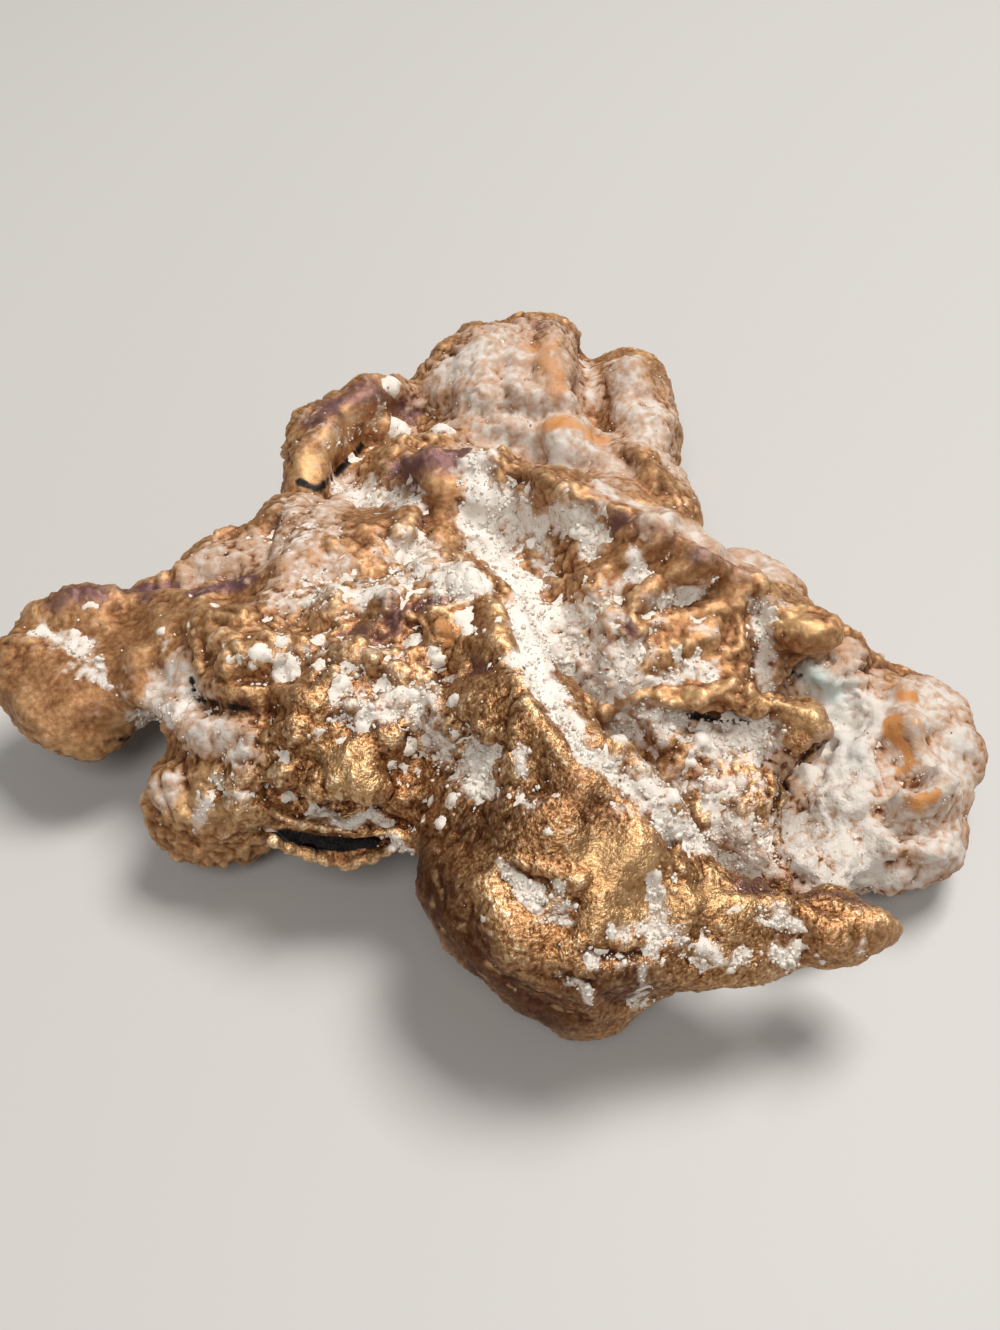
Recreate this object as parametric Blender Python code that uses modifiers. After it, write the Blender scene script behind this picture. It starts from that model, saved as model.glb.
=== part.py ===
"""Native copper nugget: one solid piece of float copper that grew as a lobed, crumpled mass.

The body is built up from overlapping rounded lobes and ridges fused into one skin. Flutes,
dents and welts are then worked into that skin, the whole is left lumpy as weathered metal
is, and the few spots that bear on the ground are worn flat. Metres, +Z up, origin at the
middle of the footprint on the ground.
"""

import bmesh
import bpy
import numpy as np
from mathutils import Euler, Matrix, Vector
from mathutils.bvhtree import BVHTree

MM = 0.001

# Rounded lobes in mm: centre (x, y, z), half sizes (x, y, z), turn about X, Y, Z in degrees.
LOBES = {
    "plateau_core": ((-11.0, -15.0, 12.0), (17.0, 12.5, 7.8), (0, 0, 0)),
    "plateau_left": ((-20.0, -14.0, 10.5), (9.0, 7.5, 5.5), (0, 8, 0)),
    "plateau_front": ((-11.0, -22.5, 10.5), (11.5, 6.8, 5.8), (0, 0, 0)),
    "plateau_lip": ((-12.3, -26.4, 9.4), (6.9, 2.9, 2.8), (0, 0, -8)),
    "plateau_back": ((-12.0, -3.0, 11.5), (12.0, 9.0, 7.0), (0, 0, 0)),
    "slab_plate": ((10.5, -10.5, 14.4), (14.0, 10.0, 4.8), (23, 0, -14)),
    "slab_middle": ((11.0, -15.3, 11.8), (10.8, 6.2, 5.0), (27, 0, -8)),
    "slab_body": ((11.0, -12.0, 8.5), (13.0, 9.5, 6.5), (0, 0, 0)),
    "slab_front": ((13.0, -17.0, 9.2), (9.5, 5.5, 5.8), (0, 0, -8)),
    "talus": ((15.0, -23.5, 5.8), (8.0, 8.5, 6.4), (0, 0, 0)),
    "talus_foot": ((19.5, -29.0, 4.6), (7.0, 5.0, 4.8), (0, 0, -15)),
    "slab_end": ((22.0, -9.0, 12.0), (5.0, 4.5, 4.5), (0, 0, 0)),
    "back_flank": ((9.5, 9.0, 9.0), (9.8, 15.0, 7.0), (0, 0, 0)),
    "flank_right": ((20.5, -3.5, 8.5), (8.0, 7.5, 5.8), (0, 0, -25)),
    "left_lobe": ((-35.0, -10.8, 9.5), (8.3, 8.2, 4.0), (22, 0, 0)),
    "left_neck": ((-26.0, -10.5, 10.5), (9.0, 6.8, 4.6), (8, 0, 0)),
    "lower_left_lobe": ((-22.5, -23.3, 7.0), (6.0, 5.0, 4.6), (0, 0, 0)),
    "bulb": ((3.2, -34.3, 10.3), (9.0, 7.8, 8.3), (0, 0, 0)),
    "bulb_crown": ((6.3, -33.0, 12.5), (6.5, 5.3, 6.6), (0, 0, 0)),
    "bulb_chin": ((6.3, -38.0, 6.2), (5.5, 4.6, 5.2), (0, 0, 0)),
    "bulb_neck": ((-2.0, -27.0, 12.0), (5.5, 4.6, 5.0), (0, 0, 0)),
    "boulder": ((-2.4, -22.5, 15.8), (4.4, 4.8, 4.4), (0, 0, 0)),
    "upper_knob": ((23.8, -12.6, 16.1), (3.7, 2.5, 2.6), (0, 0, 0)),
    "far_right_low": ((30.2, -21.0, 4.6), (8.8, 8.8, 5.2), (0, 0, 0)),
    "far_right_top": ((31.2, -14.9, 5.4), (9.6, 8.4, 5.2), (0, 0, 0)),
    "far_right_neck": ((27.0, -10.0, 7.5), (5.5, 5.5, 5.0), (0, 0, 0)),
    "back_hump": ((1.6, 29.2, 9.2), (12.0, 14.8, 8.5), (0, 0, 0)),
    "back_right_bump": ((13.5, 28.5, 8.2), (5.6, 13.0, 6.6), (0, 0, 0)),
    "saddle": ((-6.5, 13.0, 10.5), (8.5, 10.0, 6.5), (0, 0, 0)),
    "hook_web": ((-13.0, 16.0, 10.0), (6.0, 6.5, 3.6), (0, 0, 0)),
    "hook_bridge": ((-9.0, 21.0, 9.8), (5.0, 6.0, 4.2), (0, 0, 0)),
    "left_back_a": ((-28.5, -4.5, 9.0), (6.0, 5.5, 4.6), (0, 0, 0)),
    "left_back_b": ((-23.5, -0.5, 9.5), (7.0, 6.2, 5.0), (0, 0, 0)),
    "left_back_c": ((-17.0, 4.5, 9.5), (8.0, 7.5, 5.8), (0, 0, 0)),
    "valley_front": ((6.0, -17.0, 5.0), (9.0, 13.0, 5.5), (0, 0, 0)),
    "valley_back": ((1.0, -2.0, 7.5), (8.0, 9.0, 6.0), (0, 0, 0)),
    "gully_head": ((-1.0, 1.5, 11.0), (6.0, 5.5, 5.0), (0, 0, 0)),
    "left_foot": ((-17.0, -9.0, 4.6), (8.5, 7.5, 5.2), (0, 0, 0)),
    "back_foot": ((5.0, 24.0, 4.6), (8.0, 10.0, 5.2), (0, 0, 0)),
    "front_foot": ((4.0, -33.0, 4.6), (6.0, 6.0, 5.2), (0, 0, 0)),
}

# Ridges in mm: points (x, y, z, radius) along the crest's core line.
RIDGES = {
    "main_ridge": [
        (8.5, -31.8, 13.5, 5.5), (5.0, -28.3, 16.0, 4.8), (2.4, -25.0, 17.3, 4.4),
        (0.6, -20.0, 17.6, 4.2), (-2.0, -14.0, 17.4, 4.0), (-4.5, -9.0, 16.6, 4.0),
    ],
    "slab_crest": [
        (-5.5, 6.0, 16.0, 4.0), (-0.5, 4.5, 17.3, 3.8), (4.5, 1.0, 18.3, 3.6),
        (8.5, -3.0, 19.2, 3.4), (12.7, -6.4, 19.6, 3.4), (16.0, -8.4, 18.9, 3.2),
        (20.0, -10.2, 17.2, 3.0),
    ],
    "front_rib": [
        (8.5, -16.8, 10.5, 3.0), (12.5, -17.5, 12.6, 3.0), (18.0, -18.5, 13.6, 2.9),
        (21.3, -19.4, 13.4, 2.5), (23.0, -20.9, 12.9, 2.2),
    ],
    "small_hook": [
        (33.2, -13.0, 8.0, 1.7), (32.4, -17.0, 8.4, 1.5), (33.6, -21.0, 8.0, 1.4),
        (33.4, -24.0, 7.8, 1.6), (31.6, -25.2, 7.6, 1.5),
    ],
    "horn": [
        (10.0, -36.0, 10.0, 5.4), (17.0, -37.1, 9.8, 3.7), (20.5, -37.1, 9.8, 3.0),
        (23.0, -36.9, 9.9, 3.0), (25.5, -36.7, 10.0, 2.3), (27.7, -36.6, 10.0, 1.2),
    ],
    "hook": [
        (-18.0, 12.0, 10.4, 3.8), (-18.9, 17.6, 12.2, 3.4), (-16.6, 22.2, 13.5, 3.1),
        (-13.4, 25.4, 13.9, 2.5), (-11.0, 27.6, 13.9, 1.6),
    ],
}

# Marks in the skin, in mm: rise (negative is a hollow), reach, and (x, y) along the mark.
MARKS = {
    "flute_1": (-1.0, 1.9, [(4.0, -9.5), (8.0, -6.0), (11.5, -4.5)]),
    "flute_2": (-1.0, 1.8, [(6.5, -13.5), (11.0, -9.5), (15.5, -7.5)]),
    "flute_3": (-0.9, 1.6, [(9.5, -15.5), (14.0, -12.0), (19.0, -10.5)]),
    "flute_rib_1": (0.9, 1.6, [(5.5, -11.5), (9.5, -7.8), (13.5, -6.0)]),
    "flute_rib_2": (0.9, 1.6, [(8.0, -14.8), (12.5, -10.8), (17.0, -9.0)]),
    "valley": (-1.7, 2.2, [(-0.5, 1.5), (2.6, -5.0), (4.4, -12.0), (6.0, -18.4), (8.5, -22.5)]),
    "valley_foot": (-1.6, 2.6, [(11.5, -25.5), (15.5, -30.0), (20.0, -32.5)]),
    "slab_step": (-1.4, 1.8, [(18.5, -12.5), (20.0, -16.5)]),
    "under_knob": (-1.8, 1.8, [(22.0, -16.5), (25.5, -17.0), (27.5, -16.0)]),
    "lobe_crack": (-2.0, 1.6, [(25.5, -19.5), (23.0, -23.0), (22.6, -27.0)]),
    "bulb_dent": (-1.2, 2.4, [(-2.5, -33.6), (0.2, -35.2), (2.0, -36.4)]),
    "bulb_groove": (-0.9, 1.6, [(7.5, -33.5), (7.5, -36.5), (10.0, -38.0)]),
    "horn_neck": (-0.5, 1.4, [(19.6, -35.5), (19.4, -39.5)]),
    "left_notch": (-1.6, 2.4, [(-27.0, -16.5), (-24.5, -19.0)]),
    "terrace": (-1.8, 2.2, [(-24.0, -16.0), (-21.0, -19.5), (-17.0, -20.5)]),
    "front_slit": (-1.8, 1.4, [(-16.5, -27.8), (-11.5, -29.0), (-7.0, -28.6)]),
    "front_fold": (-1.4, 2.0, [(-13.0, -25.5), (-7.0, -25.8), (-4.0, -27.5)]),
    "plateau_gully": (-1.6, 2.4, [(-16.0, -8.5), (-10.0, -7.0), (-5.0, -4.0)]),
    "plateau_gully_2": (-1.2, 2.0, [(-22.0, -9.5), (-17.5, -13.5), (-12.5, -14.5)]),
    "back_saddle": (-2.4, 3.2, [(-8.0, 24.0), (-5.5, 17.0), (0.5, 13.0), (8.5, 11.5)]),
    "hump_cleft": (-1.8, 2.2, [(9.5, 40.0), (9.8, 32.0), (9.0, 25.0), (11.0, 19.0)]),
    "hook_cleft": (-1.8, 2.0, [(-15.0, 14.5), (-12.5, 19.0), (-9.5, 22.0)]),
    "ear_crease": (-0.8, 1.8, [(-39.5, -9.0), (-35.0, -11.0), (-31.5, -12.5)]),
}

BEAD_SUBDIVISIONS = 4
BEADS_PER_RADIUS = 3
VOXEL = 0.7 * MM
RELAX_SHARE = 0.5
RELAX_STEPS = 5
LAST_RELAX_STEPS = 1
DROP_HEIGHT = 1.0
LUMPS = (("lump_broad", 7.0, 3.0), ("lump_small", 3.0, 1.4))
WEAR_HEIGHT = 0.4 * MM
TRIANGLES = 9000
COPPER_COLOUR = (0.48, 0.22, 0.10, 1.0)
COPPER_METALLIC = 1.0
COPPER_ROUGHNESS = 0.5


def add_bead(bm, centre, half_sizes, turn=(0, 0, 0)):
    """One closed ellipsoid added to the pile."""
    place = Matrix.Translation(Vector(centre) * MM)
    turned = Euler([np.radians(angle) for angle in turn]).to_matrix().to_4x4()
    sized = Matrix.Diagonal((*[size * MM for size in half_sizes], 1.0))
    bmesh.ops.create_icosphere(
        bm, subdivisions=BEAD_SUBDIVISIONS, radius=1.0, matrix=place @ turned @ sized
    )


def add_ridge(bm, points):
    """A chain of beads a third of a radius apart along straight runs between the points."""
    for start, end in zip(points[:-1], points[1:]):
        first, last = np.array(start), np.array(end)
        run = np.linalg.norm(last[:3] - first[:3])
        steps = max(2, int(np.ceil(BEADS_PER_RADIUS * run / min(first[3], last[3]))))
        for share in np.linspace(0.0, 1.0, steps + 1):
            x, y, z, radius = first + share * (last - first)
            add_bead(bm, (x, y, z), (radius, radius, radius))


def settle(body):
    """Replace the body's mesh by the outcome of its modifiers."""
    graph = bpy.context.evaluated_depsgraph_get()
    mesh = bpy.data.meshes.new_from_object(body.evaluated_get(graph))
    body.modifiers.clear()
    body.data = mesh
    mesh.name = body.name


def fuse(body, voxel, steps):
    """Join everything into one closed skin and relax it."""
    joined = body.modifiers.new("fuse", "REMESH")
    joined.mode = "VOXEL"
    joined.voxel_size = voxel
    relax = body.modifiers.new("relax", "SMOOTH")
    relax.factor = RELAX_SHARE
    relax.iterations = steps


def skin_of(mesh):
    points = np.empty(len(mesh.vertices) * 3)
    normals = np.empty(len(mesh.vertices) * 3)
    mesh.vertices.foreach_get("co", points)
    mesh.vertices.foreach_get("normal", normals)
    return points.reshape(-1, 3), normals.reshape(-1, 3)


def gap_to_line(points, line):
    """Distance from every point to the nearest spot on a line of straight runs."""
    best = np.full(len(points), np.inf)
    for start, end in zip(line[:-1], line[1:]):
        run = end - start
        share = np.clip((points - start) @ run / (run @ run), 0.0, 1.0)
        best = np.minimum(best, np.linalg.norm(points - start - share[:, None] * run, axis=1))
    return best


def work_marks(body):
    """Raise or sink the skin along each mark: rise x exp(-(gap / reach)^2), along the normal."""
    mesh = body.data
    points, normals = skin_of(mesh)
    tree = BVHTree.FromObject(body, bpy.context.evaluated_depsgraph_get())
    shift = np.zeros(len(points))
    for rise, reach, path in MARKS.values():
        line = []
        for x, y in path:
            hit = tree.ray_cast(Vector((x * MM, y * MM, DROP_HEIGHT)), Vector((0, 0, -1)))[0]
            if hit is not None:
                line.append(np.array(hit))
        if len(line) > 1:
            shift += rise * MM * np.exp(-((gap_to_line(points, line) / (reach * MM)) ** 2))
    mesh.vertices.foreach_set("co", (points + normals * shift[:, None]).ravel())
    mesh.update()


def add_lumps(body, name, size, height):
    """Weathering lumps: a cloud pattern of the given size pushes the skin in and out."""
    pattern = bpy.data.textures.new(name, "CLOUDS")
    pattern.noise_scale = size * MM
    pattern.noise_depth = 1
    push = body.modifiers.new(name, "DISPLACE")
    push.texture = pattern
    push.texture_coords = "LOCAL"
    push.strength = height * MM
    push.mid_level = 0.5


def wear_flat(body):
    """Put the middle of the footprint at the origin and wear the lowest spots flat."""
    mesh = body.data
    points = skin_of(mesh)[0]
    points[:, :2] -= (points[:, :2].min(axis=0) + points[:, :2].max(axis=0)) / 2
    points[:, 2] = np.maximum(points[:, 2] - WEAR_HEIGHT, 0.0)
    mesh.vertices.foreach_set("co", points.ravel())
    mesh.update()


def copper():
    material = bpy.data.materials.new("native_copper")
    material.use_nodes = True
    shader = material.node_tree.nodes["Principled BSDF"]
    shader.inputs["Base Color"].default_value = COPPER_COLOUR
    shader.inputs["Metallic"].default_value = COPPER_METALLIC
    shader.inputs["Roughness"].default_value = COPPER_ROUGHNESS
    return material


def main():
    for obj in list(bpy.data.objects):
        bpy.data.objects.remove(obj)
    group = bpy.data.collections.new("native_copper_nugget")
    bpy.context.scene.collection.children.link(group)

    pile = bmesh.new()
    for centre, half_sizes, turn in LOBES.values():
        add_bead(pile, centre, half_sizes, turn)
    for points in RIDGES.values():
        add_ridge(pile, points)
    mesh = bpy.data.meshes.new("copper_nugget")
    pile.to_mesh(mesh)
    pile.free()
    body = bpy.data.objects.new("copper_nugget", mesh)
    group.objects.link(body)

    fuse(body, VOXEL, RELAX_STEPS)
    settle(body)
    work_marks(body)
    for name, size, height in LUMPS:
        add_lumps(body, name, size, height)
    fuse(body, VOXEL, LAST_RELAX_STEPS)
    settle(body)

    thin = body.modifiers.new("thin", "DECIMATE")
    thin.ratio = TRIANGLES / sum(len(face.vertices) - 2 for face in body.data.polygons)
    thin.use_collapse_triangulate = True
    settle(body)
    wear_flat(body)
    body.data.materials.clear()
    body.data.materials.append(copper())


main()
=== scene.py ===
import math

import bmesh
import bpy
import numpy as np
from mathutils import Matrix, Vector
from mathutils.bvhtree import BVHTree


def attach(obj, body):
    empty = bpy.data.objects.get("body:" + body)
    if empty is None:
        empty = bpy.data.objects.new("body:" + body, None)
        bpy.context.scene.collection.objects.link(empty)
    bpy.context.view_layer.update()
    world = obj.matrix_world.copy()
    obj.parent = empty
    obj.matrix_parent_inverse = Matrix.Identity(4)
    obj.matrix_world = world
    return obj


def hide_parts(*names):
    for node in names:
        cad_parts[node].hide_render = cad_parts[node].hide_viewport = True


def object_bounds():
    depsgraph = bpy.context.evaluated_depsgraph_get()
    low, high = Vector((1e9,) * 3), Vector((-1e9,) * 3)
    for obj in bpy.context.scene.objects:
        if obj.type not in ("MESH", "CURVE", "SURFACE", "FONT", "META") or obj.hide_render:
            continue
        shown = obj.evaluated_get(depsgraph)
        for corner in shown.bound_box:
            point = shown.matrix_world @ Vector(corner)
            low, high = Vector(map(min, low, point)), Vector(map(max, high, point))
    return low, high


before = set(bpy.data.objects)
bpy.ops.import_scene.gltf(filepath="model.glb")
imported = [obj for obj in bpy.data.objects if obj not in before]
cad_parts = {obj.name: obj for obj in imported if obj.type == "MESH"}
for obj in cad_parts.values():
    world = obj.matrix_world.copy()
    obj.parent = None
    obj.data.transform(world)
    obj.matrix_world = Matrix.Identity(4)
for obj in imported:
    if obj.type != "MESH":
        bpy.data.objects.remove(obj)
cad_low, cad_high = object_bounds()

# --- The viewpoint ----------------------------------------------------------------------
# The eye hangs just over the table in front of the nugget and looks down at half a right
# angle, as someone does who bends close over a small stone.
MM = 0.001
FRAME_MIDDLE = (500.0, 665.0)
FRAME_TALL = 1330.0
FOCAL_PIXELS = 1200.0
EYE = (1.39, -83.52, 81.6)
LOOK_DOWN = math.radians(45)
SENSOR_MM = 36.0
NEAREST, FARTHEST = 0.002, 10.0

lens = bpy.data.cameras.new("eye")
lens.sensor_width = SENSOR_MM
lens.lens = FOCAL_PIXELS * SENSOR_MM / FRAME_TALL
lens.clip_start = NEAREST
lens.clip_end = FARTHEST
eye = bpy.data.objects.new("eye", lens)
eye.location = Vector(EYE) * MM
eye.rotation_euler = (math.pi / 2 - LOOK_DOWN, 0.0, 0.0)
bpy.context.scene.collection.objects.link(eye)
bpy.context.scene.camera = eye


# --- The copper body: raw form ----------------------------------------------------------
# One lump of native copper that grew in cracks of the rock, was torn free by ice and then
# rolled and weathered. It starts as the frame's own solid, with the facets eased away.
# Each skin is made of squares of so many millimetres, eased so many rounds.
RAW_VOXEL, RAW_EASING = 0.45, 6
SKIN_VOXEL, SKIN_EASING = 0.26, 2
EASING = 0.5
SAME_CORNER = 1e-6


def working_copy(node):
    """A new object with the node's mesh, its loose triangles merged into one skin."""
    mesh = node.data.copy()
    mesh.name = "native_copper_nugget"
    bm = bmesh.new()
    bm.from_mesh(mesh)
    bmesh.ops.remove_doubles(bm, verts=bm.verts, dist=SAME_CORNER)
    bm.to_mesh(mesh)
    bm.free()
    piece = bpy.data.objects.new("native_copper_nugget", mesh)
    bpy.context.scene.collection.objects.link(piece)
    return piece


def settle(piece):
    """The outcome of the piece's modifiers takes the place of its mesh."""
    graph = bpy.context.evaluated_depsgraph_get()
    mesh = bpy.data.meshes.new_from_object(piece.evaluated_get(graph))
    piece.modifiers.clear()
    spent = piece.data
    piece.data = mesh
    bpy.data.meshes.remove(spent)
    mesh.name = piece.name


def reskin(piece, voxel_mm, easing):
    """An even skin of small squares over the form, its points drawn to their neighbours."""
    skin = piece.modifiers.new("skin", "REMESH")
    skin.mode = "VOXEL"
    skin.voxel_size = voxel_mm * MM
    ease = piece.modifiers.new("ease", "SMOOTH")
    ease.factor = EASING
    ease.iterations = easing
    settle(piece)


def read_skin(piece):
    """Points in millimetres and unit normals, as whole arrays."""
    count = len(piece.data.vertices)
    points, normals = np.empty(count * 3), np.empty(count * 3)
    piece.data.vertices.foreach_get("co", points)
    piece.data.vertices.foreach_get("normal", normals)
    return points.reshape(-1, 3) / MM, normals.reshape(-1, 3)


def write_skin(piece, points):
    """Puts points in millimetres back into the mesh."""
    piece.data.vertices.foreach_set("co", (points * MM).ravel())
    piece.data.update()


def eased(piece, values, rounds):
    """Each value becomes the mean of itself and its neighbours' mean, round after round."""
    ends = np.empty(len(piece.data.edges) * 2, dtype=np.int64)
    piece.data.edges.foreach_get("vertices", ends)
    here = ends
    there = ends.reshape(-1, 2)[:, ::-1].ravel()
    count = len(piece.data.vertices)
    ways = np.maximum(np.bincount(here, minlength=count), 1)
    values = values.copy()
    columns = values.reshape(count, -1)
    for _ in range(rounds):
        for k in range(columns.shape[1]):
            mean = np.bincount(here, weights=columns[there, k], minlength=count) / ways
            columns[:, k] = EASING * (columns[:, k] + mean)
    return columns.reshape(values.shape)


nugget = working_copy(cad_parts["copper_nugget"])
reskin(nugget, RAW_VOXEL, RAW_EASING)


# --- The copper body: folds, flutes and cracks ------------------------------------------
# The lump's own features and the thin lip that has peeled off its front edge, each worked
# in along a line. A line is given where the eye sees it, in pixels of the frame, and is
# dropped from there onto the skin.
LINE_STEP = 5.0


def sight_lines(spots):
    """Directions from the eye: ahead, plus right and down by pixels over the focal length."""
    across, down = ((np.asarray(spots, float) - FRAME_MIDDLE) / FOCAL_PIXELS).T
    sin, cos = math.sin(LOOK_DOWN), math.cos(LOOK_DOWN)
    return np.stack([across, cos - down * sin, -sin - down * cos], axis=1)


def dropped(tree, spots):
    """Points on the skin, in millimetres, every few pixels along the line of spots."""
    spots = np.asarray(spots, float)
    if len(spots) > 1:
        runs = np.hypot(*np.diff(spots, axis=0).T)
        along = np.concatenate([[0.0], np.cumsum(runs)])
        stops = np.linspace(0.0, along[-1], max(2, int(along[-1] / LINE_STEP)))
        spots = np.stack([np.interp(stops, along, spots[:, k]) for k in (0, 1)], axis=1)
    met = [tree.ray_cast(Vector(EYE) * MM, Vector(way))[0] for way in sight_lines(spots)]
    return np.array([point for point in met if point is not None]) / MM


def gap_to(points, line, reach):
    """Distance from each point to the nearest point of the line, or infinity if far off."""
    gap = np.full(len(points), np.inf)
    if not len(line):
        return gap
    low, high = line.min(axis=0) - 3 * reach, line.max(axis=0) + 3 * reach
    near = np.flatnonzero(np.all((points > low) & (points < high), axis=1))
    apart = points[near][:, None, :] - line[None, :, :]
    gap[near] = np.sqrt((apart**2).sum(axis=2).min(axis=1))
    return gap


def work_in(piece, folds, lumps):
    """Moves the skin along its normal by the folds and the lumps.

    A fold adds rise x exp(-(gap / reach)^2) round its line; a lump adds the dome
    rise x (1 - (gap / reach)^2) round each of its spots, with a crease where it ends.
    """
    points, normals = read_skin(piece)
    tree = BVHTree.FromObject(piece, bpy.context.evaluated_depsgraph_get())
    shift = np.zeros(len(points))
    for rise, reach, spots in folds.values():
        shift += rise * np.exp(-((gap_to(points, dropped(tree, spots), reach) / reach) ** 2))
    for rise, reach, spots in lumps.values():
        for spot in spots:
            gap = gap_to(points, dropped(tree, [spot]), reach)
            shift += rise * np.clip(1 - (gap / reach) ** 2, 0, 1)
    write_skin(piece, points + normals * shift[:, None])


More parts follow.
